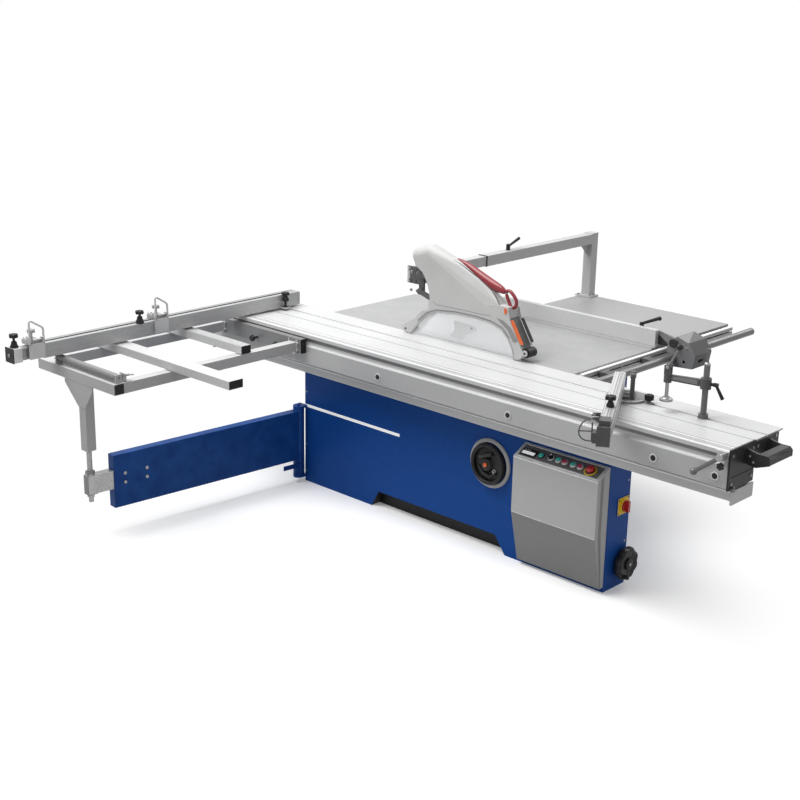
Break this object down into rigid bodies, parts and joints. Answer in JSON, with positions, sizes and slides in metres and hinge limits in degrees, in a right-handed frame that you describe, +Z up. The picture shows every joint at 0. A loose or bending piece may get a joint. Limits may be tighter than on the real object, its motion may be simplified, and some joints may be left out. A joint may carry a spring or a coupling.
{
  "type": "sliding table saw",
  "caption": "Panel saw with a sliding carriage, outrigger, tilting saw unit, overhead blade guard and bar-guided rip fence",
  "frame": {"origin": "on the floor below the centre of the main blade, in the blade plane", "axes": "+X to the operator's end along the sliding carriage, +Y to the rip fence side, +Z up"},
  "size_m": [3.32, 3.194, 1.3448],
  "materials": {
    "blue_paint": "satin",
    "grey_paint": "satin",
    "anodised": "satin",
    "ground_iron": "ground",
    "sheet_steel": "satin",
    "steel": "brushed",
    "dark_steel": "satin",
    "cast_grey": "cast",
    "black_plastic": "matte",
    "red_plastic": "gloss",
    "green_plastic": "gloss",
    "dark_red_plastic": "gloss",
    "white_shell": "satin",
    "clear_window": "clear",
    "belt_rubber": "matte",
    "motor_paint": "satin"
  },
  "bodies": {
    "machine": {"cabinet": "blue_paint", "base_rail": "anodised", "main_table": "ground_iron", "extension_table": "sheet_steel", "rip_rail": "anodised", "rip_bar": "steel", "guard_column": "grey_paint", "console": "grey_paint", "trunnions": "cast_grey"},
    "tilt_wheel": {"tilt_handwheel": "black_plastic"},
    "rise_wheel": {"rise_handwheel": "black_plastic"},
    "main_start": {"main_start_button": "green_plastic"},
    "main_stop": {"main_stop_button": "red_plastic"},
    "scorer_start": {"scorer_start_button": "green_plastic"},
    "scorer_stop": {"scorer_stop_button": "dark_red_plastic"},
    "selector": {"selector_knob": "black_plastic"},
    "e_stop": {"emergency_stop": "red_plastic"},
    "switch": {"main_switch": "red_plastic"},
    "tilt_unit": {"tilt_frame": "cast_grey"},
    "scorer": {"scoring_blade": "steel"},
    "rise_unit": {"arbor_housing": "cast_grey", "main_motor": "motor_paint", "riving_knife": "steel", "drive_belt": "belt_rubber"},
    "blade": {"main_blade": "steel"},
    "motor_shaft": {"motor_pulley": "dark_steel"},
    "boom": {"boom_inner": "grey_paint"},
    "boom_clamp": {"boom_lever": "black_plastic"},
    "link_upper": {"upper_link": "dark_steel"},
    "link_lower": {"lower_link": "dark_steel"},
    "guard": {"guard_shell": "white_shell", "guard_window": "clear_window", "guard_handle": "red_plastic"},
    "guard_wheel": {"front_roller": "black_plastic"},
    "guard_caster": {"rear_roller": "black_plastic"},
    "rip_slider": {"rip_carrier": "grey_paint"},
    "rip_rule": {"rip_fence": "anodised"},
    "rip_clamp": {"rip_lever": "black_plastic"},
    "carriage": {"carriage": "anodised", "push_handle": "black_plastic", "outrigger_mount": "anodised", "outrigger_frame": "grey_paint", "support_bars": "anodised"},
    "carriage_lock": {"lock_lever": "dark_steel"},
    "outrigger_wheel": {"outrigger_roller": "steel"},
    "arm": {"swing_arm": "blue_paint"},
    "arm_slide": {"swing_tube": "dark_steel"},
    "cross_rule": {"crosscut_fence": "anodised"},
    "cross_extension": {"fence_extension": "anodised"},
    "stop_1": {"flip_stop_1": "black_plastic"},
    "arch_1": {"flip_arch_1": "steel"},
    "stop_2": {"flip_stop_2": "black_plastic"},
    "arch_2": {"flip_arch_2": "steel"},
    "miter_slider": {"miter_base": "dark_steel"},
    "miter_rule": {"miter_fence": "anodised"},
    "miter_stop": {"miter_flap": "steel"},
    "clamp": {"clamp_post": "steel"},
    "clamp_head": {"clamp_arm": "dark_steel"},
    "clamp_cam": {"cam_lever": "black_plastic"},
    "clamp_pad": {"clamp_foot": "black_plastic"}
  },
  "joints": [
    {"name": "carriage_slide", "type": "slide", "parent": "machine", "child": "carriage", "axis": [1, 0, 0], "range_m": [-1.45, 1.45]},
    {"name": "swing_arm_hinge", "type": "hinge", "parent": "machine", "child": "arm", "pos_m": [-0.862, -0.304, 0.2], "axis": [0, 0, 1], "range_deg": [-51, 51]},
    {"name": "swing_tube_slide", "type": "slide", "parent": "arm", "child": "arm_slide", "axis": [-0.0873, -0.9962, 0], "range_m": [0, 0.55]},
    {"name": "saw_tilt", "type": "hinge", "parent": "machine", "child": "tilt_unit", "pos_m": [0, 0, 0.875], "axis": [-1, 0, 0], "range_deg": [0, 45]},
    {"name": "saw_rise", "type": "slide", "parent": "tilt_unit", "child": "rise_unit", "axis": [0, 0, 1], "range_m": [0, 0.088]},
    {"name": "blade_spin", "type": "hinge", "parent": "rise_unit", "child": "blade", "pos_m": [0, 0, 0.712], "axis": [0, 1, 0], "continuous": true},
    {"name": "motor_spin", "type": "hinge", "parent": "rise_unit", "child": "motor_shaft", "pos_m": [-0.15, 0.145, 0.562], "axis": [0, 1, 0], "continuous": true},
    {"name": "scorer_spin", "type": "hinge", "parent": "tilt_unit", "child": "scorer", "pos_m": [0.265, 0, 0.817], "axis": [0, 1, 0], "continuous": true},
    {"name": "tilt_wheel_turn", "type": "hinge", "parent": "machine", "child": "tilt_wheel", "pos_m": [0.43, -0.292, 0.437], "axis": [0, -1, 0], "range_deg": [0, 1441]},
    {"name": "rise_wheel_turn", "type": "hinge", "parent": "machine", "child": "rise_wheel", "pos_m": [1.125, -0.139, 0.112], "axis": [1, 0, 0], "range_deg": [0, 1585]},
    {"name": "main_start_press", "type": "slide", "parent": "machine", "child": "main_start", "axis": [0, 0.4753, -0.8798], "range_m": [0, 0.003], "stiffness_N_per_m": 800, "springref_m": -0.003},
    {"name": "main_stop_press", "type": "slide", "parent": "machine", "child": "main_stop", "axis": [0, 0.4753, -0.8798], "range_m": [0, 0.003], "stiffness_N_per_m": 800, "springref_m": -0.003},
    {"name": "scorer_start_press", "type": "slide", "parent": "machine", "child": "scorer_start", "axis": [0, 0.4753, -0.8798], "range_m": [0, 0.003], "stiffness_N_per_m": 800, "springref_m": -0.003},
    {"name": "scorer_stop_press", "type": "slide", "parent": "machine", "child": "scorer_stop", "axis": [0, 0.4753, -0.8798], "range_m": [0, 0.003], "stiffness_N_per_m": 800, "springref_m": -0.003},
    {"name": "e_stop_press", "type": "slide", "parent": "machine", "child": "e_stop", "axis": [0, 0.4753, -0.8798], "range_m": [0, 0.003], "stiffness_N_per_m": 800, "springref_m": -0.003},
    {"name": "selector_turn", "type": "hinge", "parent": "machine", "child": "selector", "pos_m": [0.809, -0.3115, 0.5705], "axis": [0, -0.4753, 0.8798], "range_deg": [-45, 45]},
    {"name": "main_switch_turn", "type": "hinge", "parent": "machine", "child": "switch", "pos_m": [1.104, -0.154, 0.388], "axis": [1, 0, 0], "range_deg": [0, 90]},
    {"name": "boom_slide", "type": "slide", "parent": "machine", "child": "boom", "axis": [0, 1, 0], "range_m": [0, 0.3]},
    {"name": "boom_lever_turn", "type": "hinge", "parent": "machine", "child": "boom_clamp", "pos_m": [-0.2225, 0.6, 1.235], "axis": [0, 0, 1], "range_deg": [-60, 60]},
    {"name": "guard_lift", "type": "hinge", "parent": "boom", "child": "link_upper", "pos_m": [-0.275, 0, 1.19], "axis": [0, -1, 0], "range_deg": [0, 35]},
    {"name": "guard_level", "type": "hinge", "parent": "link_upper", "child": "guard", "pos_m": [-0.12, 0, 1.145], "axis": [0, -1, 0], "range_deg": [-35.1, 0.1]},
    {"name": "guard_link_lower", "type": "hinge", "parent": "boom", "child": "link_lower", "pos_m": [-0.275, 0, 1.098], "axis": [0, -1, 0], "range_deg": [-0.1, 35.1]},
    {"name": "front_roller_spin", "type": "hinge", "parent": "guard", "child": "guard_wheel", "pos_m": [0.418, 0, 0.921], "axis": [0, 1, 0], "continuous": true},
    {"name": "rear_roller_spin", "type": "hinge", "parent": "guard", "child": "guard_caster", "pos_m": [-0.35, 0, 0.897], "axis": [0, 1, 0], "continuous": true},
    {"name": "rip_slide", "type": "slide", "parent": "machine", "child": "rip_slider", "axis": [0, 1, 0], "range_m": [-0.6, 0.57]},
    {"name": "rip_fence_slide", "type": "slide", "parent": "rip_slider", "child": "rip_rule", "axis": [1, 0, 0], "range_m": [-0.08, 0.07]},
    {"name": "rip_lever_turn", "type": "hinge", "parent": "rip_slider", "child": "rip_clamp", "pos_m": [0.56, 0.7153, 0.947], "axis": [0, 0, 1], "range_deg": [-80, 60]},
    {"name": "lock_lever_turn", "type": "hinge", "parent": "carriage", "child": "carriage_lock", "pos_m": [1.736, -0.458, 0.857], "axis": [0, 1, 0], "range_deg": [-12, 40]},
    {"name": "outrigger_roller_spin", "type": "hinge", "parent": "carriage", "child": "outrigger_wheel", "pos_m": [-0.95, -1.53, 0.857], "axis": [1, 0, 0], "continuous": true},
    {"name": "crosscut_swivel", "type": "hinge", "parent": "carriage", "child": "cross_rule", "pos_m": [-1.165, -0.215, 0.885], "axis": [0, 0, 1], "range_deg": [0, 45]},
    {"name": "fence_extension_slide", "type": "slide", "parent": "cross_rule", "child": "cross_extension", "axis": [0, -1, 0], "range_m": [0, 0.9]},
    {"name": "stop_1_slide", "type": "slide", "parent": "cross_extension", "child": "stop_1", "axis": [0, -1, 0], "range_m": [-0.5, 0.033]},
    {"name": "stop_2_slide", "type": "slide", "parent": "cross_rule", "child": "stop_2", "axis": [0, -1, 0], "range_m": [-0.72, 0.05]},
    {"name": "arch_1_flip", "type": "hinge", "parent": "stop_1", "child": "arch_1", "pos_m": [-1.12, -1.686, 0.984], "axis": [0, -1, 0], "range_deg": [0, 90]},
    {"name": "arch_2_flip", "type": "hinge", "parent": "stop_2", "child": "arch_2", "pos_m": [-1.12, -0.98, 0.984], "axis": [0, -1, 0], "range_deg": [0, 90]},
    {"name": "miter_slide", "type": "slide", "parent": "carriage", "child": "miter_slider", "axis": [1, 0, 0], "range_m": [-1, 0.03]},
    {"name": "miter_swivel", "type": "hinge", "parent": "miter_slider", "child": "miter_rule", "pos_m": [1.07, -0.137, 0.885], "axis": [0, 0, 1], "range_deg": [-30, 29.5]},
    {"name": "miter_flap_flip", "type": "hinge", "parent": "miter_rule", "child": "miter_stop", "pos_m": [1.33001, -0.74983, 0.9916], "axis": [-0.5075, 0.8616, 0], "range_deg": [0, 90]},
    {"name": "clamp_slide", "type": "slide", "parent": "carriage", "child": "clamp", "axis": [1, 0, 0], "range_m": [-0.01, 0.24]},
    {"name": "clamp_arm_slide", "type": "slide", "parent": "clamp", "child": "clamp_head", "axis": [0, 0, 1], "range_m": [-0.042, 0.055]},
    {"name": "cam_lever_turn", "type": "hinge", "parent": "clamp_head", "child": "clamp_cam", "pos_m": [1.29087, -0.17667, 1.071], "axis": [0.2419, -0.9703, 0], "range_deg": [0, 50]},
    {"name": "clamp_foot_slide", "type": "slide", "parent": "clamp_head", "child": "clamp_pad", "axis": [0, 0, -1], "range_m": [0, 0.0026]}
  ],
  "couplings": [
    {"joint": "swing_arm_hinge", "follows": "carriage_slide", "rad_per_m": 0.6},
    {"joint": "tilt_wheel_turn", "follows": "saw_tilt", "ratio": 32},
    {"joint": "rise_wheel_turn", "follows": "saw_rise", "rad_per_m": 314.16},
    {"joint": "motor_spin", "follows": "blade_spin", "ratio": 0.7},
    {"joint": "guard_level", "follows": "guard_lift", "ratio": -1},
    {"joint": "guard_link_lower", "follows": "guard_lift", "ratio": 1},
    {"joint": "clamp_foot_slide", "follows": "cam_lever_turn", "m_per_rad": 0.0028648}
  ]
}
